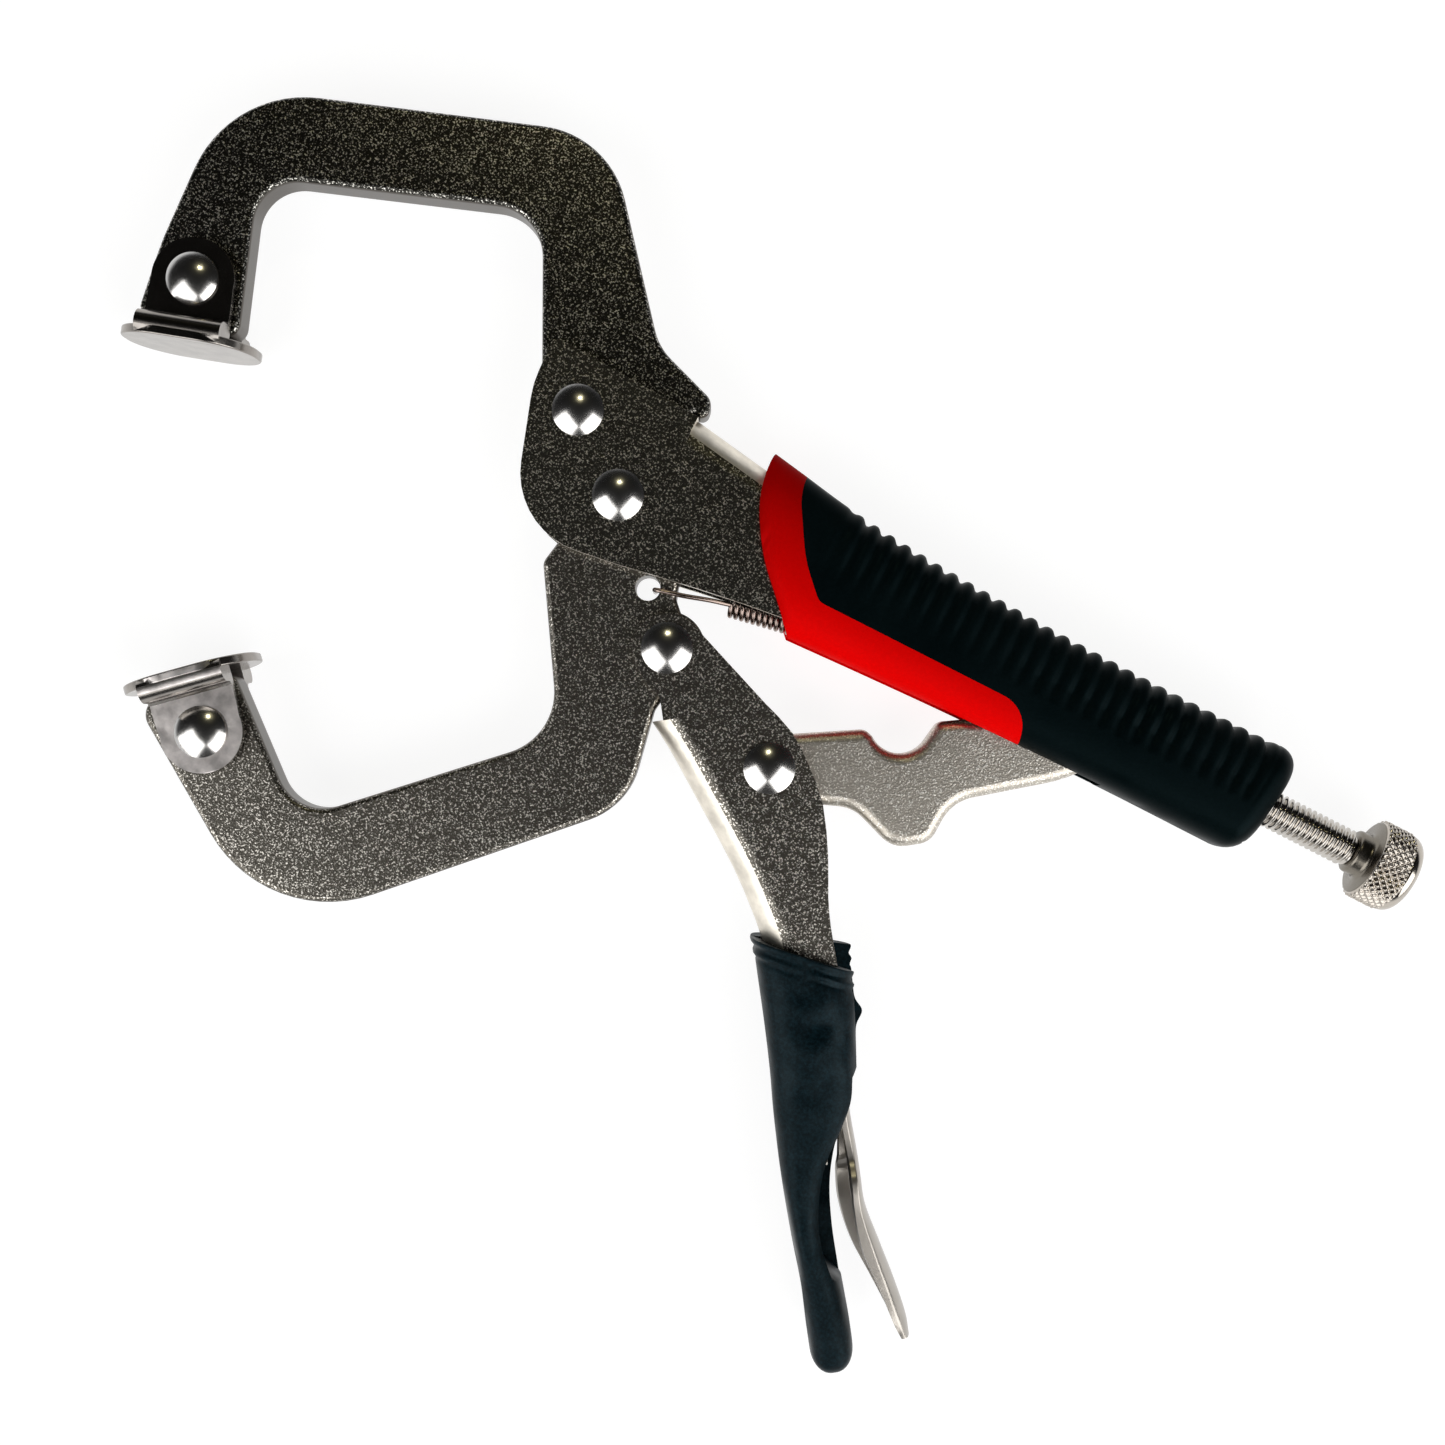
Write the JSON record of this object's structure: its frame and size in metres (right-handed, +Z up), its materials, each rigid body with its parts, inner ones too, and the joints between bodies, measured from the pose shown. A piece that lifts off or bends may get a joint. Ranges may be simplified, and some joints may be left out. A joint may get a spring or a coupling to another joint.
{
  "type": "locking pliers",
  "caption": "Locking C-clamp pliers with swivel pads, an adjusting screw, a toggle linkage, a release lever and soft sleeved handles.",
  "frame": {"origin": "middle of the underside of the object's box as it lies flat; the swivel pads are what reach lowest", "axes": "+Z up along the rivets, +X along the adjusting screw towards its knob, +Y towards the fixed jaw"},
  "size_m": [0.2788, 0.1958, 0.022],
  "materials": {
    "nickel_plate": "fine sand-blasted nickel plate",
    "polished_steel": "polished rivets, screw and spring",
    "pad_steel": "smooth bright-plated pressed sheet",
    "red_sleeve": "satin soft vinyl",
    "black_sleeve": "fine matt soft vinyl"
  },
  "bodies": {
    "fixed_handle": {"upper_handle_channel": "nickel_plate", "upper_jaw": "nickel_plate", "upper_jaw_rivet": "polished_steel", "jaw_pivot_rivet": "polished_steel", "upper_pad_rivet": "polished_steel", "upper_grip_collar": "red_sleeve", "upper_grip": "black_sleeve", "return_spring": "polished_steel"},
    "lower_jaw": {"lower_jaw": "nickel_plate", "lower_pad_rivet": "polished_steel", "handle_pivot_rivet": "polished_steel"},
    "lower_handle": {"lower_handle_channel": "nickel_plate", "link_rivet": "polished_steel", "release_lever_pin": "polished_steel", "lower_grip": "black_sleeve"},
    "toggle_link": {"toggle_link": "nickel_plate"},
    "release_lever": {"release_lever": "nickel_plate"},
    "screw_point": {"adjusting_screw_point": "polished_steel"},
    "adjusting_screw": {"adjusting_screw": "polished_steel", "adjusting_knob": "polished_steel"},
    "upper_pad": {"upper_swivel_pad": "pad_steel"},
    "lower_pad": {"lower_swivel_pad": "pad_steel"}
  },
  "joints": [
    {"name": "jaw_close", "type": "hinge", "parent": "fixed_handle", "child": "lower_jaw", "pos_m": [-0.03465, 0.03797, 0.011], "axis": [0, 0, 1], "range_deg": [-18.2, 0], "deforming": ["return_spring"]},
    {"name": "handle_squeeze", "type": "hinge", "parent": "lower_jaw", "child": "lower_handle", "pos_m": [-0.01245, 0.01557, 0.011], "axis": [0, 0, 1], "range_deg": [0, 56.1]},
    {"name": "link_swing", "type": "hinge", "parent": "lower_handle", "child": "toggle_link", "pos_m": [0.01615, 0.00366, 0.011], "axis": [0, 0, 1], "range_deg": [-50.7, 0]},
    {"name": "release_lever_swing", "type": "hinge", "parent": "lower_handle", "child": "release_lever", "pos_m": [0.04745, -0.03395, 0.011], "axis": [0, 0, 1], "range_deg": [-5, 6]},
    {"name": "screw_travel", "type": "slide", "parent": "fixed_handle", "child": "screw_point", "axis": [1, 0, 0], "range_m": [0, 0.016]},
    {"name": "screw_turn", "type": "hinge", "parent": "screw_point", "child": "adjusting_screw", "pos_m": [0.10535, 0.04177, 0.011], "axis": [1, 0, 0], "range_deg": [0, 4612]},
    {"name": "upper_pad_swivel", "type": "hinge", "parent": "fixed_handle", "child": "upper_pad", "pos_m": [-0.12855, 0.03797, 0.011], "axis": [0, 0, 1], "range_deg": [-20, 7]},
    {"name": "lower_pad_swivel", "type": "hinge", "parent": "lower_jaw", "child": "lower_pad", "pos_m": [-0.08665, -0.04073, 0.011], "axis": [0, 0, 1], "range_deg": [-10, 14]}
  ],
  "couplings": [
    {"joint": "jaw_close", "follows": "handle_squeeze", "ratio": -0.32287},
    {"joint": "link_swing", "follows": "handle_squeeze", "ratio": -0.90107},
    {"joint": "screw_turn", "follows": "screw_travel", "rad_per_m": 5026.5}
  ]
}
